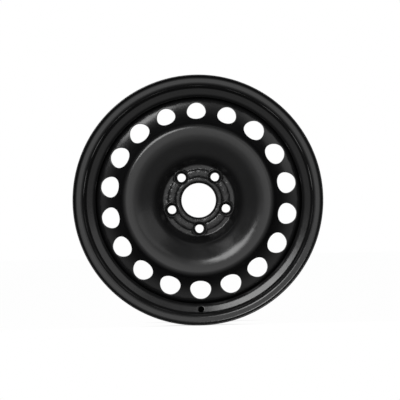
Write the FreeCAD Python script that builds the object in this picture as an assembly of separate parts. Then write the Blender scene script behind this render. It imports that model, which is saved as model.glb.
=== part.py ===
import FreeCAD, Part
import math
import os

# Pressed steel road wheel: rolled rim, pressed disc and the fillet welds between them.
# Millimetres. The wheel turns about Y through the origin, which is the middle of the rim.
# The outboard face looks along -Y and +Z is up, with the valve hole at the bottom.

# Rim
RIM_DIAMETER = 436.6        # bead seat diameter at the heel
RIM_WIDTH = 177.8           # between the bead faces of the two flanges
RIM_SHEET = 2.6             # sheet thickness of the rim
FLANGE_HEIGHT = 17.3        # flange top above the bead seat heel
FLANGE_CURL = 8.0           # tyre-side radius of the curled flange
LIP_REACH = 10.7            # lip end beyond the bead face
HEEL_BEND = 5.0             # tyre-side radius between flange and bead seat
SEAT_TAPER = 5.0            # bead seat angle in degrees
SEAT_WIDTH = 19.8           # bead face to the toe of the seat
HUMP_RISE = 1.5             # hump top above the toe
HUMP_RUN = 3.4              # toe to the hump top
TOE_BEND = 3.0
HUMP_BEND = 3.6
WELL_DEPTH = 20.0           # heel to the floor of the well
WALL_TOP_DROP = 4.8         # heel to the top of the outboard well wall
WALL_TOP_RUN = 5.0          # outboard hump top to the top of the well wall
WALL_TOP_BEND = 5.0
WALL_TILT = 20.0            # outboard well wall against the wheel's plane in degrees
WALL_BEND = 7.5             # tyre-side radius at the foot of the well wall
RAMP_FOOT = -9.0            # axial place of the inboard end of the well floor
RAMP_RUN = 22.0             # axial run of the ramp out of the well
RAMP_RISE = 11.2            # radial rise of the ramp out of the well
RAMP_BEND = 12.0            # bends at both ends of the ramp
LEDGE_DROP = 2.6            # heel to the inboard end of the long ledge
LEDGE_RUN = 5.4             # long ledge end to the inboard hump top
LEDGE_BEND = 4.0
VALVE_DIAMETER = 11.3       # valve hole
VALVE_SHARE = 0.40          # place of the valve hole down the well wall, 0 top to 1 foot
VALVE_EDGE = 0.8            # rounding of the valve hole's edges

# Disc
DISC_SHEET = 4.0            # sheet thickness of the disc
INSET = 40.0                # rim centre to the mounting face
BORE_DIAMETER = 65.1        # hub bore
FLARE_WIDTH = 4.45          # radial width of the flare at the collar's outboard end
FLARE_DEPTH = 4.0           # axial depth of the flare
FLARE_REAR_BEND = 0.2       # rear radius of the bends at both ends of the flare
COLLAR_SETBACK = 0.4        # collar end short of the mounting face
RING_RISE = 5.5             # collar ring above the hub floor
RING_RADIUS = 43.5          # outer corner of the collar ring
RING_FOOT = 46.5            # foot of the collar ring on the hub floor
RING_REAR_BEND = 0.8        # rear radius of the ring's outer corner
RING_FOOT_BEND = 1.5
FLOOR_RADIUS = 68.0         # outer corner of the hub floor
FLOOR_BEND = 5.0            # bend between the hub floor and the bowl wall
THROAT_RADIUS = 82.4        # corner between the bowl wall and the bowl
THROAT_HEIGHT = 19.5        # the same above the hub floor
THROAT_BEND = 30.0
BOWL_RADIUS = 118.0         # corner between the bowl and the crown
BOWL_HEIGHT = 37.7
BOWL_BEND = 47.0
CROWN_RADIUS = 142.1        # corner between the crown and the outer flank
CROWN_HEIGHT = 39.55
CROWN_BEND = 13.5
VALLEY_RADIUS = 148.6       # foot of the outer flank
VALLEY_HEIGHT = 28.3
VALLEY_BEND = 8.0
SLOPE_RADIUS = 165.7        # middle corner of the ventilated slope
SLOPE_HEIGHT = 13.9
SLOPE_BEND = 114.0
SHOULDER_HEIGHT = 3.0       # corner between the slope and the disc flange
SHOULDER_BEND = 14.0
FLANGE_LENGTH = 35.0        # shoulder corner to the inboard end of the disc flange

# Hub
BOLT_COUNT = 5
BOLT_CIRCLE = 108.0         # pitch diameter of the bolts
BOLT_DIAMETER = 15.8        # bolt hole
SEAT_ANGLE = 60.0           # included angle of the bolt seat cone
SEAT_CONE = 5.0             # depth of the seat cone
SEAT_ROUND = 1.8            # rounding of the seat's mouth
BOSS_RISE = 3.4             # bolt boss above the hub floor
BOSS_RADIUS = 15.2          # foot of the bolt boss
BOSS_DRAFT = 35.0           # slope of the boss side off the axis in degrees
BOSS_ROUND = 0.8
RIB_RADIUS = 51.6           # middle of the raised ribs between the bolts
RIB_WIDTH = 16.6            # width of a rib at its foot
RIB_RISE = 3.0              # rib above the hub floor
RIB_DRAFT = 38.0            # slope of the rib's sides off the axis in degrees
RIB_HALF_ANGLE = 16.0       # rib middle to the centre of its round end in degrees
RIB_ROUND = 1.5
HOLLOW_LAND = 5.9           # hollow behind a rib narrower than the rib's foot
HOLLOW_SKIN = 0.4           # hollow shallower than the rib is high

# Ventilation holes
VENT_COUNT = 18
VENT_RADIUS = 169.6         # vent centre on the outboard surface
VENT_DIAMETER = 40.6
SMALL_VENT_DIAMETER = 36.8  # the vents opposite the valve hole
SMALL_VENTS = 3

# Welds
WELD_COUNT = 8
WELD_ANGLE = 26.0           # sweep of one bead in degrees
WELD_RADIUS = 4.2           # radius of the bead's rounded section
WELD_SINK = 0.8             # bead centre inside the corner, each way

AXIS = FreeCAD.Vector(0, 1, 0)
ORIGIN = FreeCAD.Vector(0, 0, 0)
BOTTOM = -90.0              # angle of the valve hole, from +X towards +Z


def unit(p, q):
    """Direction from p to q in the section plane."""
    length = math.hypot(q[0] - p[0], q[1] - p[1])
    return (q[0] - p[0]) / length, (q[1] - p[1]) / length


def fitted_bends(points, bends):
    """Tangent length of each bend, held to the legs that it stands on."""
    turns = [0.0] * len(points)
    for i in range(1, len(points) - 1):
        a = unit(points[i - 1], points[i])
        b = unit(points[i], points[i + 1])
        turns[i] = math.atan2(a[0] * b[1] - a[1] * b[0], a[0] * b[0] + a[1] * b[1])
    tangents = [bend * math.tan(abs(turn) / 2) for bend, turn in zip(bends, turns)]
    fitted = list(tangents)
    for i in range(len(points) - 1):
        leg = math.dist(points[i], points[i + 1])
        wanted = tangents[i] + tangents[i + 1]
        if wanted > 0.98 * leg:
            share = 0.98 * leg / wanted
            fitted[i] = min(fitted[i], tangents[i] * share)
            fitted[i + 1] = min(fitted[i + 1], tangents[i + 1] * share)
    radii = []
    for tangent, turn in zip(fitted, turns):
        radii.append(tangent / math.tan(abs(turn) / 2) if abs(turn) > 1e-6 else 0.0)
    return radii, turns


def parallel(points, distance):
    """Corners of the line that runs at a distance to the left of the given corners."""
    moved = []
    for i, p in enumerate(points):
        before = unit(points[max(i - 1, 0)], points[max(i, 1)])
        after = unit(points[min(i, len(points) - 2)], points[min(i + 1, len(points) - 1)])
        n0 = (-before[1], before[0])
        n1 = (-after[1], after[0])
        scale = distance / (1 + n0[0] * n1[0] + n0[1] * n1[1])
        moved.append((p[0] + scale * (n0[0] + n1[0]), p[1] + scale * (n0[1] + n1[1])))
    return moved


def vec(p):
    """Section point (radius, axial) as a point of the XY plane."""
    return FreeCAD.Vector(p[0], p[1], 0)


def line(p, q):
    """Straight edge between two points."""
    return Part.LineSegment(p, q).toShape()


def bent_line(points, radii, turns):
    """Edges of a line with rounded corners."""
    edges = []
    last = vec(points[0])
    for i in range(1, len(points) - 1):
        if radii[i] < 0.05:
            edges.append(line(last, vec(points[i])))
            last = vec(points[i])
            continue
        a = unit(points[i - 1], points[i])
        b = unit(points[i], points[i + 1])
        tangent = radii[i] * math.tan(abs(turns[i]) / 2)
        start = vec((points[i][0] - a[0] * tangent, points[i][1] - a[1] * tangent))
        end = vec((points[i][0] + b[0] * tangent, points[i][1] + b[1] * tangent))
        bow = radii[i] * (1 / math.cos(turns[i] / 2) - 1)
        inward = FreeCAD.Vector(b[0] - a[0], b[1] - a[1], 0).normalize()
        if (start - last).Length > 1e-4:
            edges.append(line(last, start))
        edges.append(Part.Arc(start, vec(points[i]) + inward * bow, end).toShape())
        last = end
    edges.append(line(last, vec(points[-1])))
    return edges


def round_end(p, q, ahead):
    """Half-round edge from p to q that bulges ahead."""
    middle = (p + q) * 0.5 + ahead * (p.distanceToPoint(q) / 2)
    return Part.Arc(p, middle, q).toShape()


def sheet_ring(corners, thickness, rounded_ends):
    """Sheet of even thickness turned about the wheel axis.

    Each corner is (radius, axial, bend); the sheet lies to the left of the line through them.
    Returns the solid and the edges of the given side of its section.
    """
    points = [corner[:2] for corner in corners]
    radii, turns = fitted_bends(points, [corner[2] for corner in corners])
    far = parallel(points, thickness)
    far_radii = []
    for radius, turn in zip(radii, turns):
        far_radii.append(max(radius - math.copysign(thickness, turn), 0.0) if radius else 0.0)
    near_edges = bent_line(points, radii, turns)
    far_edges = bent_line(far, far_radii, turns)
    ahead = unit(points[-2], points[-1])
    behind = unit(points[1], points[0])
    if rounded_ends:
        last_cap = round_end(vec(points[-1]), vec(far[-1]), vec(ahead))
        first_cap = round_end(vec(far[0]), vec(points[0]), vec(behind))
    else:
        last_cap = line(vec(points[-1]), vec(far[-1]))
        first_cap = line(vec(far[0]), vec(points[0]))
    loop = near_edges + [last_cap] + far_edges[::-1] + [first_cap]
    face = Part.Face(Part.Wire(Part.__sortEdges__(loop)))
    return face.revolve(ORIGIN, AXIS, 360), near_edges


def turned(shape, angle):
    """Copy of a shape made at +X, turned towards +Z by an angle in degrees."""
    copy = shape.copy()
    copy.rotate(ORIGIN, AXIS, -angle)
    return copy


def flange_side(side):
    """Tyre-side corners of one flange from its lip to its hump; side is -1 outboard, +1 inboard."""
    face = RIM_WIDTH / 2
    heel = RIM_DIAMETER / 2
    toe = heel - SEAT_WIDTH * math.tan(math.radians(SEAT_TAPER))
    return [
        (heel + FLANGE_HEIGHT, side * (face + LIP_REACH), 0.0),
        (heel + FLANGE_HEIGHT, side * face, FLANGE_CURL),
        (heel, side * face, HEEL_BEND),
        (toe, side * (face - SEAT_WIDTH), TOE_BEND),
        (toe + HUMP_RISE, side * (face - SEAT_WIDTH - HUMP_RUN), HUMP_BEND),
    ]


def rim_corners():
    """Tyre-side corners of the whole rim, outboard lip to inboard lip."""
    heel = RIM_DIAMETER / 2
    floor = heel - WELL_DEPTH
    front = flange_side(-1)
    back = flange_side(1)
    wall_top = (heel - WALL_TOP_DROP, front[-1][1] + WALL_TOP_RUN, WALL_TOP_BEND)
    wall_run = (wall_top[0] - floor) * math.tan(math.radians(WALL_TILT))
    wall_foot = (floor, wall_top[1] + wall_run, WALL_BEND)
    ramp_foot = (floor, RAMP_FOOT, RAMP_BEND)
    ramp_top = (floor + RAMP_RISE, RAMP_FOOT + RAMP_RUN, RAMP_BEND)
    ledge_end = (heel - LEDGE_DROP, back[-1][1] - LEDGE_RUN, LEDGE_BEND)
    return front + [wall_top, wall_foot, ramp_foot, ramp_top, ledge_end] + back[::-1]


def hole_edges(shape, centre, direction, radius):
    """Edges of a round hole's two mouths."""
    found = []
    for edge in shape.Edges:
        points = edge.discretize(9)
        offsets = [(p - centre).cross(direction).Length for p in points]
        along = [(p - centre).dot(direction) for p in points]
        on_wall = all(abs(offset - radius) < 0.02 for offset in offsets)
        straight = edge.Length < 1.05 * (max(along) - min(along))
        if on_wall and not straight and max(map(abs, along)) < 2 * radius:
            found.append(edge)
    return found


def make_rim():
    """Rolled rim with its valve hole."""
    corners = rim_corners()
    rim, _ = sheet_ring(corners, RIM_SHEET, True)
    top, foot = corners[5], corners[6]
    down = unit(top, foot)
    out = FreeCAD.Vector(-down[1], down[0], 0)
    spot = vec((top[0] + (foot[0] - top[0]) * VALVE_SHARE, top[1] + (foot[1] - top[1]) * VALVE_SHARE))
    reach = RIM_SHEET * 4
    drill = Part.makeCylinder(VALVE_DIAMETER / 2, 2 * reach, spot - out * reach, out)
    rim = rim.cut(turned(drill, BOTTOM))
    turn = FreeCAD.Rotation(AXIS, -BOTTOM)
    mouths = hole_edges(rim, turn.multVec(spot), turn.multVec(out), VALVE_DIAMETER / 2)
    return rim.makeFillet(VALVE_EDGE, mouths)


def well_inside():
    """Inner radius of the rim's well, where the disc flange sits."""
    return RIM_DIAMETER / 2 - WELL_DEPTH - RIM_SHEET


def disc_corners():
    """Outboard corners of the disc from the bore to the end of its flange."""
    floor = -INSET - DISC_SHEET
    bore = BORE_DIAMETER / 2
    return [
        (bore, -INSET - COLLAR_SETBACK, 0.0),
        (bore, floor - RING_RISE + FLARE_DEPTH, DISC_SHEET + FLARE_REAR_BEND),
        (bore + FLARE_WIDTH, floor - RING_RISE, DISC_SHEET + FLARE_REAR_BEND),
        (RING_RADIUS, floor - RING_RISE, DISC_SHEET + RING_REAR_BEND),
        (RING_FOOT, floor, RING_FOOT_BEND),
        (FLOOR_RADIUS, floor, FLOOR_BEND),
        (THROAT_RADIUS, floor - THROAT_HEIGHT, THROAT_BEND),
        (BOWL_RADIUS, floor - BOWL_HEIGHT, BOWL_BEND),
        (CROWN_RADIUS, floor - CROWN_HEIGHT, CROWN_BEND),
        (VALLEY_RADIUS, floor - VALLEY_HEIGHT, VALLEY_BEND),
        (SLOPE_RADIUS, floor - SLOPE_HEIGHT, SLOPE_BEND),
        (well_inside(), floor - SHOULDER_HEIGHT, SHOULDER_BEND),
        (well_inside(), disc_end(), 0.0),
    ]


def disc_end():
    """Axial place of the inboard end of the disc flange."""
    return -INSET - DISC_SHEET - SHOULDER_HEIGHT + FLANGE_LENGTH


def surface_at(edges, radius):
    """Point and outward normal of the disc's outboard surface on the slope at a radius."""
    probe = line(FreeCAD.Vector(radius, -500, 0), FreeCAD.Vector(radius, 500, 0))
    best = None
    for edge in edges:
        gap, pairs, _ = edge.distToShape(probe)
        if best is None or gap < best[0]:
            best = (gap, pairs[0][0], edge)
    _, point, edge = best
    tangent = edge.tangentAt(edge.Curve.parameter(point))
    normal = FreeCAD.Vector(tangent.y, -tangent.x, 0)
    if normal.y > 0:
        normal = -normal
    return point, normal


def rib(foot_width, foot, top):
    """Raised arc between two bolts, middle at +X, from axial foot to axial top, tapering to its top."""
    shrink = abs(top - foot) * math.tan(math.radians(RIB_DRAFT))
    half_foot = foot_width / 2
    half_top = half_foot - shrink
    corners = [
        vec((RIB_RADIUS - half_foot, foot)),
        vec((RIB_RADIUS + half_foot, foot)),
        vec((RIB_RADIUS + half_top, top)),
        vec((RIB_RADIUS - half_top, top)),
    ]
    face = Part.Face(Part.makePolygon(corners + corners[:1]))
    body = turned(face, -RIB_HALF_ANGLE).revolve(ORIGIN, AXIS, -2 * RIB_HALF_ANGLE)
    lift = FreeCAD.Vector(0, top - foot, 0)
    end = Part.makeCone(half_foot, half_top, lift.Length, vec((RIB_RADIUS, foot)), lift)
    ends = [turned(end, -RIB_HALF_ANGLE), turned(end, RIB_HALF_ANGLE)]
    return body.multiFuse(ends).removeSplitter()


def crest_edges(shape, level):
    """Edges of a shape that lie wholly in one axial plane."""
    return [e for e in shape.Edges if all(abs(p.y - level) < 1e-4 for p in e.discretize(5))]


def bolt_seat(floor):
    """Cutter for one bolt hole at +X: through hole, cone and rounded mouth."""
    hole = BOLT_DIAMETER / 2
    half = math.radians(SEAT_ANGLE / 2)
    mouth = floor - BOSS_RISE
    round_deep = SEAT_ROUND * (1 - math.sin(half))
    cone_top = mouth + round_deep
    cone_foot = cone_top + SEAT_CONE
    cone_wide = hole + SEAT_CONE * math.tan(half)
    mouth_wide = cone_wide + SEAT_ROUND * math.cos(half)
    swing = (math.pi / 2 + half) / 2
    middle = vec((mouth_wide - SEAT_ROUND * math.cos(swing), mouth + SEAT_ROUND * (1 - math.sin(swing))))
    end = -INSET + 5
    start = mouth - 8
    edges = [
        line(vec((0, end)), vec((hole, end))),
        line(vec((hole, end)), vec((hole, cone_foot))),
        line(vec((hole, cone_foot)), vec((cone_wide, cone_top))),
        Part.Arc(vec((cone_wide, cone_top)), middle, vec((mouth_wide, mouth))).toShape(),
        line(vec((mouth_wide, mouth)), vec((mouth_wide, start))),
        line(vec((mouth_wide, start)), vec((0, start))),
        line(vec((0, start)), vec((0, end))),
    ]
    cutter = Part.Face(Part.Wire(edges)).revolve(ORIGIN, AXIS, 360)
    cutter.translate(FreeCAD.Vector(BOLT_CIRCLE / 2, 0, 0))
    return cutter


def make_disc():
    """Pressed disc with hub ribs, bolt seats and ventilation holes."""
    floor = -INSET - DISC_SHEET
    disc, outboard = sheet_ring(disc_corners(), DISC_SHEET, False)
    step = 360.0 / BOLT_COUNT

    top = floor - RIB_RISE
    sunk = DISC_SHEET / 2
    wider = RIB_WIDTH + 2 * sunk * math.tan(math.radians(RIB_DRAFT))
    ridge = rib(wider, floor + sunk, top)
    ridge = ridge.makeFillet(RIB_ROUND, crest_edges(ridge, top))
    hollow_top = -INSET - RIB_RISE + HOLLOW_SKIN
    hollow_wide = max(RIB_WIDTH - HOLLOW_LAND, 5.0)
    hollow = rib(hollow_wide + 2 * math.tan(math.radians(RIB_DRAFT)), -INSET + 1.0, hollow_top)
    lean = math.tan(math.radians(BOSS_DRAFT))
    boss = Part.makeCone(
        BOSS_RADIUS + sunk * lean, BOSS_RADIUS - BOSS_RISE * lean, BOSS_RISE + sunk,
        FreeCAD.Vector(BOLT_CIRCLE / 2, floor + sunk, 0), FreeCAD.Vector(0, -1, 0))
    boss = boss.makeFillet(BOSS_ROUND, crest_edges(boss, floor - BOSS_RISE))
    seat = bolt_seat(floor)

    raised = []
    sunken = []
    for i in range(BOLT_COUNT):
        angle = BOTTOM + i * step
        raised.append(turned(boss, angle))
        raised.append(turned(ridge, angle + step / 2))
        sunken.append(turned(seat, angle))
        sunken.append(turned(hollow, angle + step / 2))
    disc = disc.multiFuse(raised)
    disc = disc.cut(Part.makeCompound(sunken))

    spot, normal = surface_at(outboard, VENT_RADIUS)
    reach = 4 * DISC_SHEET
    drills = []
    for i in range(VENT_COUNT):
        from_top = min(i, VENT_COUNT - i)
        small = 2 * from_top < SMALL_VENTS
        radius = (SMALL_VENT_DIAMETER if small else VENT_DIAMETER) / 2
        drill = Part.makeCylinder(radius, 2 * reach, spot - normal * reach, normal)
        drills.append(turned(drill, BOTTOM + 180 + i * 360.0 / VENT_COUNT))
    disc = disc.cut(Part.makeCompound(drills))
    return disc


def make_welds():
    """Fillet beads in the corner between the end of the disc flange and the rim's well."""
    wall = well_inside()
    end = disc_end()
    heart = FreeCAD.Vector(wall - WELD_SINK, end + WELD_SINK, 0)
    section = Part.Face(Part.Wire(Part.makeCircle(WELD_RADIUS, heart, FreeCAD.Vector(0, 0, 1))))
    body = turned(section, -WELD_ANGLE / 2).revolve(ORIGIN, AXIS, -WELD_ANGLE)
    ball = Part.makeSphere(WELD_RADIUS)
    ball.translate(heart)
    pill = body.multiFuse([turned(ball, -WELD_ANGLE / 2), turned(ball, WELD_ANGLE / 2)])
    outer = Part.makeCylinder(wall, 4 * WELD_RADIUS, FreeCAD.Vector(0, end, 0), AXIS)
    inner = Part.makeCylinder(wall - DISC_SHEET, 8 * WELD_RADIUS, FreeCAD.Vector(0, end - 1, 0), AXIS)
    bead = pill.common(outer.cut(inner))
    beads = []
    for i in range(WELD_COUNT):
        beads.append(turned(bead, BOTTOM + (i + 0.5) * 360.0 / WELD_COUNT))
    return Part.makeCompound([solid for b in beads for solid in b.Solids])


os.makedirs("parts", exist_ok=True)
make_rim().exportStep("parts/rim.step")
make_disc().exportStep("parts/wheel_disc.step")
make_welds().exportStep("parts/weld_beads.step")
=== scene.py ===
"""Looks of a pressed steel road wheel: rolled rim, pressed disc and weld beads in satin black dip coat.

The wheel's sizes are in millimetres and degrees, as on a drawing. Each sheet is laid out flat, punched, given
its thickness, and then pressed to its section and rolled round the wheel's axis, which is Y. The meshes end
in metres, and the paint and the studio are in metres throughout.
"""

import logging
import math
from abc import ABC, abstractmethod
from collections.abc import Callable
from dataclasses import dataclass
from enum import Enum

import bmesh
import bpy
from bmesh.types import BMEdge, BMesh, BMFace, BMVert
from mathutils import Matrix, Vector


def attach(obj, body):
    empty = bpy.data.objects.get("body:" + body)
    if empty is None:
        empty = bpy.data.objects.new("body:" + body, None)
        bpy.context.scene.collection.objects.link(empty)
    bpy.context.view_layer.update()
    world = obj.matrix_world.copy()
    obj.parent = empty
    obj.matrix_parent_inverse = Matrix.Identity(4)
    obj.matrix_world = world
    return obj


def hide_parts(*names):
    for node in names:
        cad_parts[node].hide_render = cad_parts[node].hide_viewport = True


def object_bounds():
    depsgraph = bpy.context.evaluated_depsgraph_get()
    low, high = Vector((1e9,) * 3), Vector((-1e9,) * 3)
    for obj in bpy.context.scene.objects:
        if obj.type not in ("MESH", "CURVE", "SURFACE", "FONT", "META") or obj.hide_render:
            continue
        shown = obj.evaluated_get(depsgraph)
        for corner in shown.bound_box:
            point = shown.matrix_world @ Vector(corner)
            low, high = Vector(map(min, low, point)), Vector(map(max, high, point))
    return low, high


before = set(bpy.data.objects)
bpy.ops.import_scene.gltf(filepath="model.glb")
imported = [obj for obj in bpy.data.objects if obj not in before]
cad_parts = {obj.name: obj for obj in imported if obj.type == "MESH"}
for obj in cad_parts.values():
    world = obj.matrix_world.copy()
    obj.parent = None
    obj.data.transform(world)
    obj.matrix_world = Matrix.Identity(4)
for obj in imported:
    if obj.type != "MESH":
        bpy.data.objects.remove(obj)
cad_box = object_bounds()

LOG = logging.getLogger("wheel")
MM = 0.001  # metres in a millimetre
TURN = 360.0  # degrees in a full turn
BOTTOM = -90.0  # angle of the valve hole, from +X towards +Z
NEAR = 0.001  # points closer than this are one point
SHORTEST_RUN = 1e-6  # shorter stretches of a section get no row of vertices
SPOT_DIGITS = 5  # decimal places by which a vertex of the flat strip is known
HALVINGS = 60  # steps of a search along a section
SHARP_FOLD = 60.0  # edges that fold by more than this can be rounded
CREASE_FOLD = 55.0  # edges that fold by more than this are shaded as creases
HUB_CENTRE = Vector((0, 0, 0))
AXLE = Vector((0, 1, 0))
WHITE = (1.0, 1.0, 1.0, 1.0)

Feed = bpy.types.NodeSocket | float | tuple[float, ...]
Geometry = list[BMVert | BMEdge | BMFace]


class Flank(Enum):
    """The two sides of the rim along the wheel's axis."""

    OUTBOARD = -1
    INBOARD = 1


class Softbox(Enum):
    """Square lamps of the studio, each with its side, its power in watts and its place."""

    KEY = (1.25, 35.0, (-0.962, -2.487, 1.374))
    FILL = (1.6, 5.0, (1.58, -2.30, 1.106))
    TOP = (2.0, 2.0, (0.3, -0.4, 2.6))

    def __init__(self, side: float, power: float, place: tuple[float, float, float]) -> None:
        """Names the lamp's values.

        Args:
            side: Length of its sides.
            power: Its power.
            place: Its place in the studio.
        """
        self.side = side
        self.power = power
        self.place = place


@dataclass(frozen=True)
class Corner:
    """Corner of a bent sheet's section, where the straight runs beside a bend would meet."""

    radius: float
    axial: float
    bend: float = 0.0


@dataclass(frozen=True)
class Rounding:
    """Rounding of an edge: its width, and the number of faces across it."""

    width: float
    segments: int


@dataclass(frozen=True)
class Shade:
    """Painted shadow on the floor's glow, from ambient occlusion: its reach, the brightness left, and the
    open share at which that is reached.
    """

    reach: float
    darkest: float
    shut: float


@dataclass(frozen=True)
class Hole:
    """Round hole punched square to the sheet.

    Attributes:
        angle: Angle of its axis round the wheel.
        place: Distance of its axis along the section.
        rings: Radii of the rings of vertices round it, down to the hole's own edge.
        window: Half the angle and half the length of the patch of the strip that the rings fill.
        cuts: Number of rows of vertices between the patch's border and the first ring.
    """

    angle: float
    place: float
    rings: list[float]
    window: tuple[float, float]
    cuts: int


@dataclass(frozen=True)
class Run:
    """One stretch of a bent line: straight where sweep is zero, else an arc about a centre."""

    start: Vector
    heading: float
    length: float
    sweep: float = 0.0

    def at(self, distance: float) -> tuple[Vector, float]:
        """Point and heading at a distance from the start.

        Args:
            distance: Length along the run.

        Returns:
            The point in the section plane, and the heading there in radians.
        """
        ahead = Vector((math.cos(self.heading), math.sin(self.heading)))
        if not self.sweep:
            return self.start + ahead * distance, self.heading
        radius = self.length / self.sweep
        centre = self.start + Vector((-ahead.y, ahead.x)) * radius
        heading = self.heading + distance / radius
        return centre - Vector((-math.sin(heading), math.cos(heading))) * radius, heading


class SheetPath:
    """Line through rounded corners in the plane of radius and axial place."""

    def __init__(self, corners: list[Corner]) -> None:
        """Lays out the straight runs and the bends.

        Args:
            corners: The corners in order. The sheet lies to the left of the line through them.
        """
        points = [Vector((corner.radius, corner.axial)) for corner in corners]
        self.runs: list[Run] = []
        spot = points[0]
        for before, here, after, corner in zip(points, points[1:], points[2:], corners[1:]):
            ahead = (here - before).normalized()
            onward = (after - here).normalized()
            turn = math.atan2(ahead.x * onward.y - ahead.y * onward.x, ahead.dot(onward))
            tangent = corner.bend * math.tan(abs(turn) / 2)
            heading = math.atan2(ahead.y, ahead.x)
            self.runs.append(Run(spot, heading, (here - spot).length - tangent))
            if corner.bend > 0:
                self.runs.append(Run(here - ahead * tangent, heading, corner.bend * abs(turn), turn))
            spot = here + onward * tangent
        last = points[-1] - spot
        self.runs.append(Run(spot, math.atan2(last.y, last.x), last.length))
        self.length = sum(run.length for run in self.runs)

    def at(self, distance: float) -> tuple[float, float, Vector]:
        """Place and direction at a distance along the line.

        Args:
            distance: Length along the line.

        Returns:
            The radius, the axial place and the normal to the left.
        """
        for run in self.runs:
            if distance <= run.length or run is self.runs[-1]:
                spot, heading = run.at(distance)
                return spot.x, spot.y, Vector((-math.sin(heading), math.cos(heading)))
            distance -= run.length
        raise ValueError("the path has no runs")

    def place_of(self, radius: float) -> float:
        """Distance along a line that runs outwards at which it reaches a radius.

        Args:
            radius: The radius.

        Returns:
            The distance.
        """
        low, high = 0.0, self.length
        for _ in range(HALVINGS):
            middle = (low + high) / 2
            if self.at(middle)[0] < radius:
                low = middle
            else:
                high = middle
        return low

    def stations(self, gap: Callable[[float], float], turn: float) -> list[float]:
        """Distances along the line at which the sheet gets a row of vertices.

        Args:
            gap: Gives the longest step for a run that starts at a radius.
            turn: Largest turn of a step in a bend.

        Returns:
            Distances in order, from zero to the length of the line.
        """
        marks = [0.0]
        for run in self.runs:
            if run.length > SHORTEST_RUN:
                straight = math.ceil(run.length / gap(run.start.x))
                bent = math.ceil(math.degrees(abs(run.sweep)) / turn)
                count, base = max(straight, bent), marks[-1]
                marks += [base + run.length * (i + 1) / count for i in range(count)]
        return marks


@dataclass(frozen=True)
class Graph:
    """Node tree of a paint or of the surroundings."""

    tree: bpy.types.NodeTree

    def join(self, feed: Feed, target: bpy.types.NodeSocket) -> None:
        """Links an output to an input, or sets the input.

        Args:
            feed: The output, or the value that the input is set to.
            target: The input.
        """
        if isinstance(feed, bpy.types.NodeSocket):
            self.tree.links.new(feed, target)
        else:
            target.default_value = feed

    def add(self, kind: str, feeds: dict[str | int, Feed], **choices: str) -> bpy.types.Node:
        """Adds a node.

        Args:
            kind: Type of the node.
            feeds: What goes into each input, by the input's name or number.
            choices: Options of the node that decide which inputs it has.

        Returns:
            The node.
        """
        node = self.tree.nodes.new(kind)
        for option, choice in choices.items():
            setattr(node, option, choice)
        for name, feed in feeds.items():
            self.join(feed, node.inputs[name])
        return node

    def reckon(self, operation: str, *feeds: Feed) -> bpy.types.NodeSocket:
        """Output of a calculation with one number or two."""
        return self.add("ShaderNodeMath", dict(enumerate(feeds)), operation=operation).outputs["Value"]

    def ranged(self, value: Feed, span: tuple[float, float],
               onto: tuple[float, float] = (0.0, 1.0)) -> bpy.types.NodeSocket:
        """Output that maps a span of a value onto another span and holds it there.

        Args:
            value: The value.
            span: The span that is read.
            onto: What its ends become.

        Returns:
            The mapped value.
        """
        feeds = {"Value": value, "From Min": span[0], "From Max": span[1],
                 "To Min": onto[0], "To Max": onto[1]}
        return self.add("ShaderNodeMapRange", feeds).outputs["Result"]

    def noise(self, place: Feed, scale: float, detail: float, roughness: float) -> bpy.types.NodeSocket:
        """Output of a noise pattern.

        Args:
            place: Coordinates that the pattern lies on.
            scale: Number of its features in a metre.
            detail: Number of its finer layers.
            roughness: Weight of the finer layers.

        Returns:
            The pattern's height.
        """
        feeds = {"Vector": place, "Scale": scale, "Detail": detail, "Roughness": roughness}
        return self.add("ShaderNodeTexNoise", feeds).outputs["Fac"]


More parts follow.
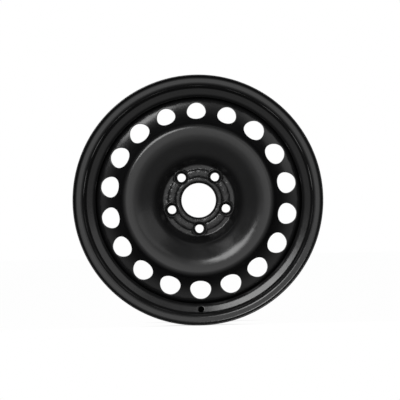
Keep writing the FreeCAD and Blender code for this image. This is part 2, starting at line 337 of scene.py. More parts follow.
@dataclass(frozen=True)
class DipCoat:
    """Satin black dip coat over pickled steel: fine orange peel, slightly uneven gloss and an uneven hub."""

    colour: tuple[float, float, float] = (0.0045, 0.0045, 0.0048)
    bloom: tuple[float, float, float] = (0.0075, 0.0075, 0.0078)
    specular: float = 0.5
    gloss: tuple[float, float] = (0.17, 0.25)
    cloud_scale: float = 34.0
    cloud_detail: float = 6.0
    cloud_roughness: float = 0.62
    cloud_span: tuple[float, float] = (0.30, 0.70)
    peel_scale: float = 900.0
    peel_detail: float = 2.0
    peel_roughness: float = 0.5
    peel_depth: float = 0.05
    peel_height: float = 0.0002
    wave_scale: float = 100.0
    wave_detail: float = 3.0
    wave_roughness: float = 0.5
    wave_height: float = 0.0022
    wave_hub: float = 1.0
    wave_disc: float = 0.06
    wave_reach: tuple[float, float] = (0.075, 0.090)  # where the hub ends and where the disc begins
    wave_rear: float = 0.06
    wave_face: tuple[float, float] = (-0.0435, -0.0415)  # axial places between which the hub's waves fade

    def material(self, name: str) -> bpy.types.Material:
        """Builds the paint as a node material.

        Args:
            name: Name of the material.

        Returns:
            The material.
        """
        made = bpy.data.materials.new(name)
        made.use_nodes = True
        graph = Graph(made.node_tree)
        place = graph.add("ShaderNodeTexCoord", {}).outputs["Object"]
        clouds = graph.noise(place, self.cloud_scale, self.cloud_detail, self.cloud_roughness)
        tones = {"A": (*self.colour, 1.0), "B": (*self.bloom, 1.0), "Factor": clouds}
        tint = graph.add("ShaderNodeMix", tones, data_type="RGBA").outputs["Result"]
        peel = graph.noise(place, self.peel_scale, self.peel_detail, self.peel_roughness)
        skin = graph.add("ShaderNodeBump", {
            "Strength": self.peel_depth, "Distance": self.peel_height, "Height": peel,
            "Normal": self.waves(graph, place)}).outputs["Normal"]
        shader = made.node_tree.nodes["Principled BSDF"]
        graph.join(tint, shader.inputs["Base Color"])
        graph.join(graph.ranged(clouds, self.cloud_span, self.gloss), shader.inputs["Roughness"])
        graph.join(self.specular, shader.inputs["Specular IOR Level"])
        graph.join(skin, shader.inputs["Normal"])
        return made

    def waves(self, graph: Graph, place: bpy.types.NodeSocket) -> bpy.types.NodeSocket:
        """Shallow unevenness that the press leaves on the outboard face of the hub.

        Args:
            graph: Node tree of the material.
            place: Coordinates on the wheel.

        Returns:
            The normal of the uneven surface.
        """
        swell = graph.noise(place, self.wave_scale, self.wave_detail, self.wave_roughness)
        reach = graph.add("ShaderNodeVectorMath", {0: place}, operation="LENGTH").outputs["Value"]
        at_hub = graph.ranged(reach, self.wave_reach, (self.wave_hub, self.wave_disc))
        axial = graph.add("ShaderNodeSeparateXYZ", {"Vector": place}).outputs["Y"]
        outboard = graph.ranged(axial, self.wave_face, (1.0, self.wave_rear))
        feeds = {"Strength": graph.reckon("MULTIPLY", at_hub, outboard),
                 "Distance": self.wave_height, "Height": swell}
        return graph.add("ShaderNodeBump", feeds).outputs["Normal"]


def flat_spot(vert: BMVert) -> tuple[float, float]:
    """Place of a vertex on the flat strip, by which its copy is found."""
    return round(vert.co.x, SPOT_DIGITS), round(vert.co.y, SPOT_DIGITS)


def ease(value: float) -> float:
    """Smooth step from zero to one."""
    held = min(max(value, 0.0), 1.0)
    return held * held * (3 - 2 * held)


def soften(mesh: BMesh, chosen: Callable[[Vector], bool], rounding: Rounding) -> None:
    """Rounds the sharp edges in one region of a mesh.

    Args:
        mesh: The mesh.
        chosen: Says whether an edge with its middle at a point lies in the region.
        rounding: The rounding that these edges get.
    """
    edges = []
    for edge in mesh.edges:
        if edge.calc_face_angle(0.0) > math.radians(SHARP_FOLD):
            if chosen((edge.verts[0].co + edge.verts[1].co) / 2):
                edges.append(edge)
    bmesh.ops.bevel(mesh, geom=edges, offset=rounding.width, offset_type="OFFSET", affect="EDGES",
                    segments=rounding.segments, profile=0.5, material=-1, clamp_overlap=True)


def placed(mesh: BMesh, name: str, coat: bpy.types.Material) -> bpy.types.Object:
    """Turns a mesh in millimetres into a piece of the wheel in metres.

    Args:
        mesh: The finished mesh, which is freed.
        name: Name of the piece.
        coat: Its paint.

    Returns:
        The object, riding on the wheel.
    """
    bmesh.ops.scale(mesh, verts=mesh.verts[:], vec=(MM, MM, MM))
    bmesh.ops.recalc_face_normals(mesh, faces=mesh.faces[:])
    for face in mesh.faces:
        face.smooth = True
    for edge in mesh.edges:
        edge.smooth = edge.calc_face_angle(0.0) < math.radians(CREASE_FOLD)
    data = bpy.data.meshes.new(name)
    mesh.to_mesh(data)
    mesh.free()
    data.materials.append(coat)
    piece = bpy.data.objects.new(name, data)
    bpy.context.scene.collection.objects.link(piece)
    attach(piece, "root")
    return piece


@dataclass
class PressedSheet(ABC):
    """Sheet of even thickness, turned about the wheel's axis.

    It is made from a flat strip of rows and columns of vertices, whose ends meet at the seam.
    """

    sheet: float
    columns: int
    row_step: float
    row_turn: float
    seam: float = 20.0

    @abstractmethod
    def corners(self) -> list[Corner]:
        """Corners of the section on the side that the sheet is measured from."""

    @abstractmethod
    def holes(self, path: SheetPath) -> list[Hole]:
        """Holes to punch."""

    def row_gap(self, radius: float) -> float:
        """Longest step between rows of vertices, which is the same at every radius."""
        return self.row_step

    def formed(self, radius: float, angle: float, axial: float, depth: float) -> float:
        """Axial place of a point after local pressing, of which a plain sheet has none."""
        return axial

    def spread(self, count: int, start: float) -> list[float]:
        """Angles of holes spaced evenly from a start, as places on the strip."""
        return [self.seam + (start + i * TURN / count - self.seam) % TURN for i in range(count)]

    def blank(self, path: SheetPath) -> BMesh:
        """Flat strip with the angle in degrees along X and the section's length along Y.

        Args:
            path: The section that the strip will be pressed to.

        Returns:
            The strip.
        """
        marks = path.stations(self.row_gap, self.row_turn)
        last, half = len(marks) - 1, 0.5
        mesh = bmesh.new()
        bmesh.ops.create_grid(mesh, x_segments=self.columns, y_segments=last, size=half)
        for vert in mesh.verts:
            vert.co.x = self.seam + TURN * round((vert.co.x + half) * self.columns) / self.columns
            vert.co.y = marks[round((vert.co.y + half) * last)]
        return mesh

    def open_window(self, mesh: BMesh, hole: Hole) -> list[BMEdge]:
        """Takes the faces round a hole out of the strip.

        Args:
            mesh: The flat strip.
            hole: The hole.

        Returns:
            The edges of the window's border.
        """
        half_angle, half_length = hole.window
        window = []
        for face in mesh.faces:
            middle = face.calc_center_median()
            if abs(middle.x - hole.angle) < half_angle and abs(middle.y - hole.place) < half_length:
                window.append(face)
        inside = set(window)
        edges = dict.fromkeys(edge for face in window for edge in face.edges)
        border = [edge for edge in edges if not inside.issuperset(edge.link_faces)]
        bmesh.ops.delete(mesh, geom=window, context="FACES")
        return border

    def ring(self, path: SheetPath, hole: Hole, loop: list[BMVert], radius: float, first: float) -> None:
        """Sets a loop of vertices on a true circle of the sheet's surface.

        Args:
            path: The section that the strip will be pressed to.
            hole: The hole that the circle goes round.
            loop: The vertices in order.
            radius: Radius of the circle.
            first: Where on the circle the first vertex lies, in radians.
        """
        for i, vert in enumerate(loop):
            swing = first + math.tau * i / len(loop)
            vert.co.y = hole.place + radius * math.sin(swing)
            vert.co.x = hole.angle + math.degrees(radius * math.cos(swing) / path.at(vert.co.y)[0])

    def punch(self, mesh: BMesh, path: SheetPath, hole: Hole) -> None:
        """Opens a window in the strip and fills it with rings that run down to the hole.

        Args:
            mesh: The flat strip.
            path: The section that the strip will be pressed to.
            hole: The hole.
        """
        edges = self.open_window(mesh, hole)
        degree = math.radians(1.0) * path.at(hole.place)[0]
        swings = {}
        for vert in dict.fromkeys(vert for edge in edges for vert in edge.verts):
            swings[vert] = math.atan2(vert.co.y - hole.place, (vert.co.x - hole.angle) * degree)
        loop = sorted(swings, key=lambda vert: swings[vert])
        first = sum(swings[vert] - math.tau * i / len(loop) for i, vert in enumerate(loop)) / len(loop)
        spokes = []
        for radius in hole.rings:
            grown = bmesh.ops.extrude_edge_only(mesh, edges=edges)["geom"]
            copies = {flat_spot(item): item for item in grown if isinstance(item, BMVert)}
            inner = [copies[flat_spot(vert)] for vert in loop]
            self.ring(path, hole, inner, radius, first)
            outer, fresh = set(loop), set(inner)
            edges = [item for item in grown if isinstance(item, BMEdge) and fresh.issuperset(item.verts)]
            if not spokes:
                joined = [(vert, edge) for vert in inner for edge in vert.link_edges]
                spokes = [edge for vert, edge in joined if edge.other_vert(vert) in outer]
            loop = inner
        bmesh.ops.subdivide_edges(mesh, edges=spokes, cuts=hole.cuts, use_grid_fill=False)

    def thicken(self, mesh: BMesh) -> None:
        """Gives the flat strip its thickness along Z and leaves the seam open.

        Args:
            mesh: The flat strip.
        """
        raised = bmesh.ops.extrude_face_region(mesh, geom=mesh.faces[:], use_keep_orig=True)
        verts = [item for item in raised["geom"] if isinstance(item, BMVert)]
        bmesh.ops.translate(mesh, verts=verts, vec=(0, 0, self.sheet))
        for end in (self.seam, self.seam + TURN):
            walls = [face for face in mesh.faces if all(abs(vert.co.x - end) < NEAR for vert in face.verts)]
            bmesh.ops.delete(mesh, geom=walls, context="FACES_ONLY")

    def press(self, mesh: BMesh, path: SheetPath) -> None:
        """Presses the strip to its section and rolls it round the wheel's axis.

        Args:
            mesh: The flat strip with its thickness.
            path: The section.
        """
        for vert in mesh.verts:
            angle, depth = math.radians(vert.co.x), vert.co.z
            radius, axial, normal = path.at(min(max(vert.co.y, 0.0), path.length))
            radius += normal.x * depth
            axial = self.formed(radius, angle, axial + normal.y * depth, depth)
            vert.co = (radius * math.cos(angle), axial, radius * math.sin(angle))
        bmesh.ops.remove_doubles(mesh, verts=mesh.verts[:], dist=NEAR)
        bmesh.ops.recalc_face_normals(mesh, faces=mesh.faces[:])

    def mesh(self) -> BMesh:
        """Makes the whole sheet, with sharp edges still on its holes and ends.

        Returns:
            The mesh in millimetres.
        """
        path = SheetPath(self.corners())
        made = self.blank(path)
        for hole in self.holes(path):
            self.punch(made, path, hole)
        self.thicken(made)
        self.press(made, path)
        return made


@dataclass
class Rim(PressedSheet):
    """Rolled drop-centre rim with its two curled flanges and the valve hole."""

    sheet: float = 2.6
    columns: int = 240
    row_step: float = 1.6
    row_turn: float = 9.0
    diameter: float = 436.6
    width: float = 177.8
    flange_height: float = 17.3
    curl: float = 8.0
    lip_reach: float = 10.7
    lip_round: Rounding = Rounding(1.15, 4)
    heel_bend: float = 5.0
    seat_taper: float = 5.0
    seat_width: float = 19.8
    toe_bend: float = 3.0
    hump_rise: float = 1.5
    hump_run: float = 3.4
    hump_bend: float = 3.6
    well_depth: float = 20.0
    wall_top_drop: float = 4.8
    wall_top_run: float = 5.0
    wall_top_bend: float = 5.0
    wall_tilt: float = 20.0
    wall_bend: float = 7.5
    ramp_foot: float = -9.0
    ramp_run: float = 22.0
    ramp_rise: float = 11.2
    ramp_bend: float = 12.0
    ledge_drop: float = 2.6
    ledge_run: float = 5.4
    ledge_bend: float = 4.0
    valve_radius: float = 5.65
    valve_share: float = 0.40  # how far down the wall the valve hole lies
    valve_step: float = 0.02  # step of the search for that place along the section
    valve_rings: tuple[float, ...] = (2.35, 1.55, 0.0)  # rings of vertices, from the hole's edge
    valve_window: tuple[float, float] = (4.5, 9.4)
    valve_cuts: int = 2
    valve_zone: float = 25.0  # sharp edges this near to the valve hole's middle are its own
    valve_round: Rounding = Rounding(0.8, 3)

    def flank(self, side: Flank) -> list[Corner]:
        """Corners of one flange and its bead seat on the side of the tyre.

        Args:
            side: Which flange.

        Returns:
            The corners from the lip to the hump.
        """
        way, face, heel = side.value, self.width / 2, self.diameter / 2
        toe = heel - self.seat_width * math.tan(math.radians(self.seat_taper))
        hump = face - self.seat_width - self.hump_run
        return [
            Corner(heel + self.flange_height, way * (face + self.lip_reach + self.sheet / 2)),
            Corner(heel + self.flange_height, way * face, self.curl),
            Corner(heel, way * face, self.heel_bend),
            Corner(toe, way * (face - self.seat_width), self.toe_bend),
            Corner(toe + self.hump_rise, way * hump, self.hump_bend),
        ]

    def wall(self) -> tuple[Corner, Corner]:
        """Top and foot of the outboard wall of the well.

        Returns:
            The two corners on the side of the tyre.
        """
        heel, hump = self.diameter / 2, self.flank(Flank.OUTBOARD)[-1]
        top = Corner(heel - self.wall_top_drop, hump.axial + self.wall_top_run, self.wall_top_bend)
        floor = heel - self.well_depth
        run = (top.radius - floor) * math.tan(math.radians(self.wall_tilt))
        return top, Corner(floor, top.axial + run, self.wall_bend)

    def corners(self) -> list[Corner]:
        """Corners of the whole section on the side of the tyre.

        Returns:
            The corners from the outboard lip to the inboard lip.
        """
        front, back = self.flank(Flank.OUTBOARD), self.flank(Flank.INBOARD)
        top, foot = self.wall()
        ramp_top = Corner(foot.radius + self.ramp_rise, self.ramp_foot + self.ramp_run, self.ramp_bend)
        ledge = Corner(self.diameter / 2 - self.ledge_drop, back[-1].axial - self.ledge_run, self.ledge_bend)
        ramp_foot = Corner(foot.radius, self.ramp_foot, self.ramp_bend)
        return [*front, top, foot, ramp_foot, ramp_top, ledge, *back[::-1]]

    def valve_spot(self) -> Corner:
        """Middle of the valve hole on the wall of the well.

        Returns:
            Its place in the section.
        """
        top, foot = self.wall()
        radius = top.radius + (foot.radius - top.radius) * self.valve_share
        return Corner(radius, top.axial + (foot.axial - top.axial) * self.valve_share)

    def holes(self, path: SheetPath) -> list[Hole]:
        """Finds the place of the valve hole along the section.

        Args:
            path: The rim's section.

        Returns:
            The valve hole, at the bottom.
        """
        # Each corner after the lip, the wall's top among them, gives a straight run and a bend.
        runs_above = 2 * len(self.flank(Flank.OUTBOARD))
        place = sum(run.length for run in path.runs[:runs_above])
        while path.at(place)[0] > self.valve_spot().radius:
            place += self.valve_step
        rings = [self.valve_radius + margin for margin in self.valve_rings]
        return [Hole(BOTTOM + TURN, place, rings, self.valve_window, self.valve_cuts)]

    def build(self, coat: bpy.types.Material) -> bpy.types.Object:
        """Makes the rim and stands it in for its solid.

        Args:
            coat: Its paint.

        Returns:
            The piece.
        """
        made = self.mesh()
        lip = self.width / 2 + self.lip_reach
        soften(made, lambda spot: abs(spot.y) > lip, self.lip_round)
        valve = Vector((0, self.valve_spot().axial, -self.valve_spot().radius))
        soften(made, lambda spot: (spot - valve).length < self.valve_zone, self.valve_round)
        piece = placed(made, "rolled_rim", coat)
        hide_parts("rim")
        return piece


@dataclass
class WheelDisc(PressedSheet):
    """Pressed disc: hub with bolt seats and ribs, bowl, crown, ventilated slope and flange.

    The corners among its sizes give their axial places as heights over the hub's outboard face.
    """

    sheet: float = 4.0
    columns: int = 270
    row_step: float = 4.2
    row_turn: float = 8.0
    hub_step: float = 1.4
    hub_rows: float = 4.0  # how far past the hub's floor the rows are that close
    hub_margin: float = 8.0  # how far past the hub's floor its own pressing can reach
    inset: float = 40.0
    bore_radius: float = 32.55
    flare_width: float = 4.45
    flare_depth: float = 4.0
    flare_bend: float = 4.2
    collar_setback: float = 0.4
    ring_rise: float = 5.5
    ring_radius: float = 43.5
    ring_bend: float = 0.8  # on the rear side
    ring_foot: float = 46.5
    ring_foot_bend: float = 1.5
    floor_radius: float = 68.0
    floor_bend: float = 5.0
    throat: Corner = Corner(82.4, 19.5, 30.0)
    bowl: Corner = Corner(118.0, 37.7, 47.0)
    crown: Corner = Corner(142.1, 39.55, 13.5)
    valley: Corner = Corner(148.6, 28.3, 8.0)
    slope: Corner = Corner(165.7, 13.9, 90.0)
    shoulder: Corner = Corner(195.7, 4.5, 12.0)
    flange_length: float = 36.5
    flange_zone: float = 6.0  # sharp edges up to this far inside the flange's radius are at its end
    flange_round: Rounding = Rounding(0.5, 2)
    bolt_count: int = 5
    bolt_circle: float = 54.0
    bolt_radius: float = 7.9
    bolt_window: tuple[float, float] = (20.6, 21.0)
    seat_half_angle: float = 43.0
    seat_cone: float = 5.6
    seat_round: float = 0.5
    seat_shares: tuple[float, ...] = (0.0, 0.3, 0.6, 0.85)  # rings of vertices over the seat's mouth
    boss_rise: float = 3.4
    boss_radius: float = 15.8
    boss_draft: float = 29.0
    boss_shares: tuple[float, ...] = (1.15, 1.0, 0.75, 0.5, 0.25, 0.0)  # rings up the boss's side
    rib_radius: float = 51.6
    rib_width: float = 16.6
    rib_rise: float = 3.0
    rib_draft: float = 38.0
    rib_half_angle: float = 16.0
    rib_crown: float = 3.2
    hollow_width: float = 10.7
    hollow_skin: float = 0.4  # how much lower than the rib the hollow behind it is
    rear_depth: float = 1.0  # rear edges lie no further than this in front of the hub's rear face
    rear_zone: float = 0.1  # and no further than this outside the bore or a bolt hole
    rear_round: Rounding = Rounding(0.4, 2)
    vent_count: int = 18
    vent_place: float = 169.6
    vent_radius: float = 19.8
    small_vent_radius: float = 17.9
    small_vents: int = 3
    vent_rings: tuple[float, ...] = (2.4, 1.4, 0.0)  # rings of vertices, from the hole's edge
    vent_window: tuple[float, float] = (9.0, 24.5)
    vent_zone: tuple[float, float] = (30.0, 23.0)  # how far in and out from their circle the vents reach
    vent_round: Rounding = Rounding(0.7, 3)
    hole_cuts: int = 3

    @property
    def floor(self) -> float:
        """Axial place of the hub's outboard face."""
        return -self.inset - self.sheet

    @property
    def flange_end(self) -> float:
        """Axial place of the inboard end of the flange."""
        return self.floor - self.shoulder.axial + self.flange_length

    @property
    def cone_radius(self) -> float:
        """Radius at which a bolt seat's cone meets its rounded mouth."""
        return self.bolt_radius + self.seat_cone * math.tan(math.radians(self.seat_half_angle))

    @property
    def mouth_radius(self) -> float:
        """Radius at which a bolt seat's rounded mouth meets its boss."""
        return self.cone_radius + self.seat_round * math.cos(math.radians(self.seat_half_angle))

    @property
    def boss_lean(self) -> float:
        """Distance by which a boss's foot lies outside its top."""
        return self.boss_rise * math.tan(math.radians(self.boss_draft))

    def row_gap(self, radius: float) -> float:
        """Longest step between rows of vertices, which is shorter on the hub."""
        return self.hub_step if radius < self.floor_radius + self.hub_rows else self.row_step

    def corners(self) -> list[Corner]:
        """Corners of the whole section on the outboard side.

        Returns:
            The corners from the bore to the end of the flange.
        """
        floor, collar = self.floor, self.floor - self.ring_rise
        raised = [self.throat, self.bowl, self.crown, self.valley, self.slope, self.shoulder]
        return [
            Corner(self.bore_radius, -self.inset - self.collar_setback),
            Corner(self.bore_radius, collar + self.flare_depth, self.flare_bend),
            Corner(self.bore_radius + self.flare_width, collar, self.flare_bend),
            Corner(self.ring_radius, collar, self.sheet + self.ring_bend),
            Corner(self.ring_foot, floor, self.ring_foot_bend),
            Corner(self.floor_radius, floor, self.floor_bend),
            *[Corner(corner.radius, floor - corner.axial, corner.bend) for corner in raised],
            Corner(self.shoulder.radius, self.flange_end),
        ]

    def bolt_rings(self) -> list[float]:
        """Rings of vertices round a bolt hole.

        Returns:
            Their radii, up the side of the boss, over the seat's mouth and down its cone.
        """
        top, cone, mouth = self.boss_radius - self.boss_lean, self.cone_radius, self.mouth_radius
        side = [top + (self.boss_radius - top) * share for share in self.boss_shares]
        lip = [mouth - (mouth - cone) * share for share in self.seat_shares]
        return [*side, *lip, cone, (cone + self.bolt_radius) / 2, self.bolt_radius]

    def holes(self, path: SheetPath) -> list[Hole]:
        """Lays out the bolt holes and the ventilation holes.

        Args:
            path: The disc's section.

        Returns:
            The holes. The small ones among the vents are opposite the valve hole.
        """
        made = []
        place, rings = path.place_of(self.bolt_circle), self.bolt_rings()
        for angle in self.spread(self.bolt_count, BOTTOM):
            made.append(Hole(angle, place, rings, self.bolt_window, self.hole_cuts))
        place = path.place_of(self.vent_place)
        for i, angle in enumerate(self.spread(self.vent_count, BOTTOM + TURN / 2)):
            small = 2 * min(i, self.vent_count - i) < self.small_vents
            radius = self.small_vent_radius if small else self.vent_radius
            rings = [radius + margin for margin in self.vent_rings]
            made.append(Hole(angle, place, rings, self.vent_window, self.hole_cuts))
        return made

    def seat(self, distance: float) -> float:
        """Surface of a bolt seat.

        Args:
            distance: Distance from the bolt's axis.

        Returns:
            Axial place of the surface there.
        """
        half = math.radians(self.seat_half_angle)
        mouth = self.floor - self.boss_rise
        if distance > self.cone_radius:
            share = (self.mouth_radius - distance) / self.seat_round
            return mouth + self.seat_round * (1 - math.sqrt(max(0.0, 1 - share * share)))
        return mouth + self.seat_round * (1 - math.sin(half)) + (self.cone_radius - distance) / math.tan(half)

    def rib_distance(self, radius: float, angle: float) -> float:
        """Distance of a point of the hub from the middle line of the nearest rib.

        Args:
            radius: Radius of the point.
            angle: Its angle round the wheel in radians.

        Returns:
            The distance.
        """
        step = math.tau / self.bolt_count
        offset = (angle - math.radians(BOTTOM)) % step - step / 2
        past = max(0.0, abs(offset) - math.radians(self.rib_half_angle))
        return math.hypot(radius - self.rib_radius, self.rib_radius * past)

    def bolt_distance(self, radius: float, angle: float) -> float:
        """Distance of a point of the hub from the axis of the nearest bolt.

        Args:
            radius: Radius of the point.
            angle: Its angle round the wheel in radians.

        Returns:
            The distance.
        """
        step = math.tau / self.bolt_count
        swing = (angle - math.radians(BOTTOM) + step / 2) % step - step / 2
        square = radius ** 2 + self.bolt_circle ** 2 - 2 * radius * self.bolt_circle * math.cos(swing)
        return math.sqrt(square)

    def rear_edge(self, spot: Vector) -> bool:
        """Whether a point lies on the rear edge of the bore or of a bolt hole.

        Args:
            spot: The point.

        Returns:
            True where it does.
        """
        radius = math.hypot(spot.x, spot.z)
        reach = self.bolt_distance(radius, math.atan2(spot.z, spot.x))
        at_hole = reach < self.bolt_radius + self.rear_zone or radius < self.bore_radius + self.rear_zone
        return at_hole and spot.y > -self.inset - self.rear_depth

    def formed(self, radius: float, angle: float, axial: float, depth: float) -> float:
        """Presses ribs, bosses and bolt seats into the hub.

        Args:
            radius: Radius of a point of the sheet.
            angle: Its angle round the wheel in radians.
            axial: Its axial place before this pressing.
            depth: Its depth in the sheet, from the outboard side.

        Returns:
            Its axial place after it.
        """
        if radius > self.floor_radius + self.hub_margin:
            return axial
        rib = self.rib_distance(radius, angle)
        if depth > self.sheet / 2:
            shrink = self.rib_rise * math.tan(math.radians(self.rib_draft))
            lift = (self.rib_rise - self.hollow_skin) * ease((self.hollow_width / 2 - rib) / shrink)
            return min(axial, -self.inset - lift) if lift > 0 else axial
        reach = self.bolt_distance(radius, angle)
        if reach <= self.mouth_radius + NEAR:
            return self.seat(reach)
        boss = self.boss_rise * ease((self.boss_radius - reach) / self.boss_lean)
        ridge = self.rib_rise * (1 - min(1.0, 2 * rib / self.rib_width) ** self.rib_crown)
        return min(axial, self.floor - max(boss, ridge))

    def build(self, coat: bpy.types.Material) -> bpy.types.Object:
        """Makes the disc and stands it in for its solid.

        Args:
            coat: Its paint.

        Returns:
            The piece.
        """
        made = self.mesh()
        low, high = self.vent_place - self.vent_zone[0], self.vent_place + self.vent_zone[1]
        soften(made, lambda spot: low < math.hypot(spot.x, spot.z) < high, self.vent_round)
        soften(made, self.rear_edge, self.rear_round)
        end = self.shoulder.radius - self.flange_zone
        soften(made, lambda spot: math.hypot(spot.x, spot.z) > end, self.flange_round)
        piece = placed(made, "pressed_disc", coat)
        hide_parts("wheel_disc")
        return piece


@dataclass
class WeldBeads:
    """Fillet welds in the corner between the end of the disc's flange and the rim's well."""

    wall: float
    end: float
    count: int = 8
    sweep: float = 26.0
    steps: int = 96
    leg: float = 4.0
    sink: float = 0.8  # distance of the face's centre from the flange's end and from the well
    flat: float = 1.2  # how much smaller the face's radius is than leg and sink together
    face_sweep: float = 115.0
    face_steps: int = 9
    ripple: float = 0.04
    pitch: float = 2.2
    merge: float = 0.02  # vertices this close together at a bead's ends are one

    def spin(self, mesh: BMesh, geom: Geometry, centre: Vector, axis: Vector, sweep: float, steps: int,
             copies: bool) -> None:
        """Spins geometry about an axis.

        Args:
            mesh: The mesh.
            geom: Its geometry to spin.
            centre: A point on the axis.
            axis: Direction of the axis.
            sweep: The whole turn.
            steps: Number of steps that it is made in.
            copies: Whether the steps are separate copies and not one surface.
        """
        bmesh.ops.spin(mesh, geom=geom, cent=centre, axis=axis, dvec=(0, 0, 0), angle=math.radians(sweep),
                       steps=steps, use_merge=False, use_duplicate=copies)

    def section(self) -> BMesh:
        """Outline of a bead across its length.

        Returns:
            A bulged face in the plane of X and Y, closed through the root of the corner.
        """
        made = bmesh.new()
        heart = Vector((self.wall - self.sink, self.end + self.sink, 0))
        reach = self.leg + self.sink - self.flat
        start = bmesh.ops.create_vert(made, co=heart + Vector((-reach, -self.sink, 0)))["vert"]
        self.spin(made, start, heart, Vector((0, 0, -1)), self.face_sweep, self.face_steps, False)
        toes = [vert for vert in made.verts if len(vert.link_edges) == 1]
        root = bmesh.ops.create_vert(made, co=(self.wall, self.end, 0))["vert"]
        for toe in toes:
            bmesh.ops.contextual_create(made, geom=[toe, *root])
        return made

    def bead(self) -> BMesh:
        """One rippled bead with rounded ends, its middle at +X.

        Returns:
            The mesh in millimetres.
        """
        made = self.section()
        half = math.radians(self.sweep / 2)
        bmesh.ops.rotate(made, verts=made.verts[:], cent=HUB_CENTRE, matrix=Matrix.Rotation(-half, 3, "Y"))
        self.spin(made, made.verts[:] + made.edges[:], HUB_CENTRE, AXLE, self.sweep, self.steps, False)
        root = Vector((self.wall, self.end))
        for vert in made.verts:
            angle = math.atan2(vert.co.z, vert.co.x)
            left = (half - abs(angle)) * self.wall / self.leg
            taper = math.sqrt(max(0.0, 1 - max(0.0, 1 - left) ** 2))
            wave = 1 + self.ripple * math.sin(math.tau * angle * self.wall / self.pitch)
            away = (Vector((math.hypot(vert.co.x, vert.co.z), vert.co.y)) - root) * taper * wave
            radius = min(root.x + away.x, self.wall)
            vert.co = (radius * math.cos(angle), max(root.y + away.y, self.end), radius * math.sin(angle))
        bmesh.ops.remove_doubles(made, verts=made.verts[:], dist=self.merge)
        return made

    def build(self, coat: bpy.types.Material) -> bpy.types.Object:
        """Makes every bead and stands them in for their solids.

        Args:
            coat: Their paint.

        Returns:
            The piece.
        """
        made = self.bead()
        step = TURN / self.count
        turn = Matrix.Rotation(-math.radians(BOTTOM + step / 2), 3, "Y")
        bmesh.ops.rotate(made, verts=made.verts[:], cent=HUB_CENTRE, matrix=turn)
        first = made.verts[:] + made.edges[:] + made.faces[:]
        self.spin(made, first, HUB_CENTRE, AXLE, TURN - step, self.count - 1, True)
        piece = placed(made, "weld_seams", coat)
        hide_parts("weld_beads")
        return piece


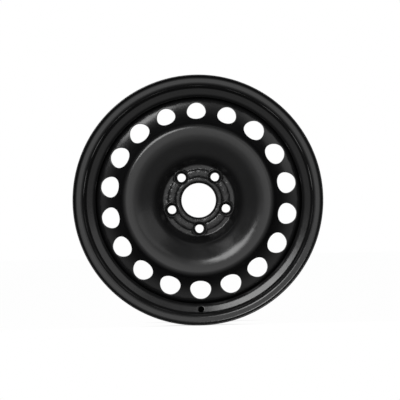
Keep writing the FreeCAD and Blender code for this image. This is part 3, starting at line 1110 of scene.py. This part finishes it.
@dataclass
class Studio:
    """White floor, soft lamps and the camera of the product photograph."""

    distance: float = 4.5
    azimuth: float = 1.9
    elevation: float = -0.75
    roll: float = 1.45
    frame_width: float = 0.768
    sensor_width: float = 36.0
    clip_end: float = 100.0
    aim_right: float = 0.0010
    aim_up: float = 0.00116
    tent: tuple[tuple[float, float], ...] = (  # brightness by how far a direction is along the axis
        (0.0, 0.04), (0.3, 0.08), (0.6, 0.157), (0.75, 0.285), (0.93, 0.47), (1.0, 1.0))
    tent_strength: float = 1.45
    tent_back: tuple[float, float] = (0.93, 0.99)  # where reflections turn to plain white behind the wheel
    floor_half: float = 6.0
    floor_front: float = -0.0985
    floor_colour: tuple[float, float, float] = (0.9, 0.9, 0.9)
    floor_glow: float = 0.985
    # Painted shadows on the glowing floor: a faint contact shadow seen by the camera, and deep painted shade
    # under and round the wheel seen in reflections.
    contact: Shade = Shade(0.03, 0.6, 0.0)
    underside: Shade = Shade(0.6, 0.0, 0.75)

    def floor(self) -> None:
        """White floor under the wheel."""
        made = bmesh.new()
        bmesh.ops.create_grid(made, x_segments=2, y_segments=2, size=self.floor_half)
        shift = (0, self.floor_half + self.floor_front, cad_box[0][2])
        bmesh.ops.translate(made, verts=made.verts[:], vec=shift)
        data = bpy.data.meshes.new("studio_floor")
        made.to_mesh(data)
        made.free()
        data.materials.append(self.floor_paint())
        piece = bpy.data.objects.new("studio_floor", data)
        bpy.context.scene.collection.objects.link(piece)

    def floor_paint(self) -> bpy.types.Material:
        """White paint that glows for rays of the camera, of gloss and of transmission, with a painted shadow
        from ambient occlusion: faint near the wheel for the camera, deep and wide in reflections.

        Returns:
            The material.
        """
        paint = bpy.data.materials.new("studio_floor")
        paint.use_nodes = True
        graph, nodes = Graph(paint.node_tree), paint.node_tree.nodes
        nodes.remove(nodes["Principled BSDF"])
        rays = graph.add("ShaderNodeLightPath", {}).outputs
        # The glow's strength is a painted shadow: a faint one for camera rays, a deep one for all other rays.
        level = graph.add("ShaderNodeMix", {
            "Factor": rays["Is Camera Ray"], "A": self.shadow(graph, self.underside),
            "B": self.shadow(graph, self.contact)}).outputs["Result"]
        seen = graph.reckon("MAXIMUM", rays["Is Camera Ray"], self.mirrored(graph, rays))
        blend = graph.add("ShaderNodeMixShader", {
            "Fac": graph.reckon("MULTIPLY", seen, self.floor_glow),
            1: graph.add("ShaderNodeBsdfDiffuse", {"Color": (*self.floor_colour, 1.0)}).outputs["BSDF"],
            2: graph.add("ShaderNodeEmission", {"Strength": level}).outputs["Emission"]})
        graph.join(blend.outputs["Shader"], nodes["Material Output"].inputs["Surface"])
        return paint

    def shadow(self, graph: Graph, shade: Shade) -> bpy.types.NodeSocket:
        """Brightness of the floor's glow in the painted shadow round the wheel, from ambient occlusion."""
        open_share = graph.add("ShaderNodeAmbientOcclusion", {"Distance": shade.reach}).outputs["AO"]
        return graph.ranged(open_share, (shade.shut, 1.0), (shade.darkest, 1.0))

    def mirrored(self, graph: Graph, rays: bpy.types.NodeOutputs) -> bpy.types.NodeSocket:
        """Factor that is one for rays of gloss and of transmission."""
        return graph.reckon("MAXIMUM", rays["Is Glossy Ray"], rays["Is Transmission Ray"])

    def world(self) -> None:
        """White surroundings for the camera, and a soft grey tent for light."""
        made = bpy.data.worlds.new("studio")
        made.use_nodes = True
        bpy.context.scene.world = made
        graph, nodes = Graph(made.node_tree), made.node_tree.nodes
        place = graph.add("ShaderNodeTexCoord", {}).outputs["Generated"]
        axial = graph.add("ShaderNodeSeparateXYZ", {"Vector": place}).outputs["Y"]
        tent = graph.add("ShaderNodeValToRGB", {"Fac": graph.reckon("ABSOLUTE", axial)})
        stops, middle = tent.color_ramp.elements, 0.5
        while len(stops) < len(self.tent):
            stops.new(middle)
        for stop, (position, level) in zip(stops, self.tent):
            stop.position = position
            stop.color = (level, level, level, 1.0)
        room = nodes["Background"]
        graph.join(tent.outputs["Color"], room.inputs["Color"])
        graph.join(self.tent_strength, room.inputs["Strength"])
        rays = graph.add("ShaderNodeLightPath", {}).outputs
        behind = graph.ranged(axial, self.tent_back)
        mirrored = graph.reckon("MULTIPLY", self.mirrored(graph, rays), behind)
        blend = graph.add("ShaderNodeMixShader", {
            "Fac": graph.reckon("MAXIMUM", rays["Is Camera Ray"], mirrored),
            1: room.outputs["Background"],
            2: graph.add("ShaderNodeBackground", {"Color": WHITE}).outputs["Background"]})
        graph.join(blend.outputs["Shader"], nodes["World Output"].inputs["Surface"])

    def lamp(self, light: Softbox) -> None:
        """Hangs one softbox that looks at the wheel.

        Args:
            light: The softbox.
        """
        name = f"{light.name.lower()}_softbox"
        data = bpy.data.lights.new(name, "AREA")
        data.size = light.side
        data.energy = light.power
        made = bpy.data.objects.new(name, data)
        made.location = light.place
        made.rotation_euler = (-made.location).to_track_quat("-Z", "Y").to_euler()
        bpy.context.scene.collection.objects.link(made)

    def camera(self) -> None:
        """Long lens, nearly square to the wheel's outboard face."""
        data = bpy.data.cameras.new("photograph")
        data.sensor_width = self.sensor_width
        data.lens = self.sensor_width * self.distance / self.frame_width
        data.clip_end = self.clip_end
        made = bpy.data.objects.new("photograph", data)
        swing, lift = math.radians(self.azimuth), math.radians(self.elevation)
        away = Vector((math.sin(swing) * math.cos(lift), -math.cos(swing) * math.cos(lift), math.sin(lift)))
        look = (-away).to_track_quat("-Z", "Y").to_matrix()
        look = look @ Matrix.Rotation(math.radians(-self.roll), 3, "Z")
        aim = look.col[0] * self.aim_right + look.col[1] * self.aim_up
        made.matrix_world = Matrix.Translation(away * self.distance + aim) @ look.to_4x4()
        bpy.context.scene.collection.objects.link(made)
        bpy.context.scene.camera = made

    def build(self) -> None:
        """Sets up the whole studio."""
        bpy.context.scene.view_settings.view_transform = "Standard"
        self.floor()
        self.world()
        for light in Softbox:
            self.lamp(light)
        self.camera()


def main() -> None:
    """Builds the wheel piece by piece, then the studio."""
    logging.basicConfig(level=logging.INFO, format="%(name)s: %(message)s")
    LOG.info("dressing %d nodes", len(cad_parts))
    coat = DipCoat().material("black_dip_coat")
    disc = WheelDisc()
    for maker in (Rim(), disc, WeldBeads(disc.shoulder.radius, disc.flange_end)):
        piece = maker.build(coat)
        LOG.info("%s: %d faces", piece.name, len(piece.data.polygons))
    Studio().build()


if __name__ == "__main__":
    main()
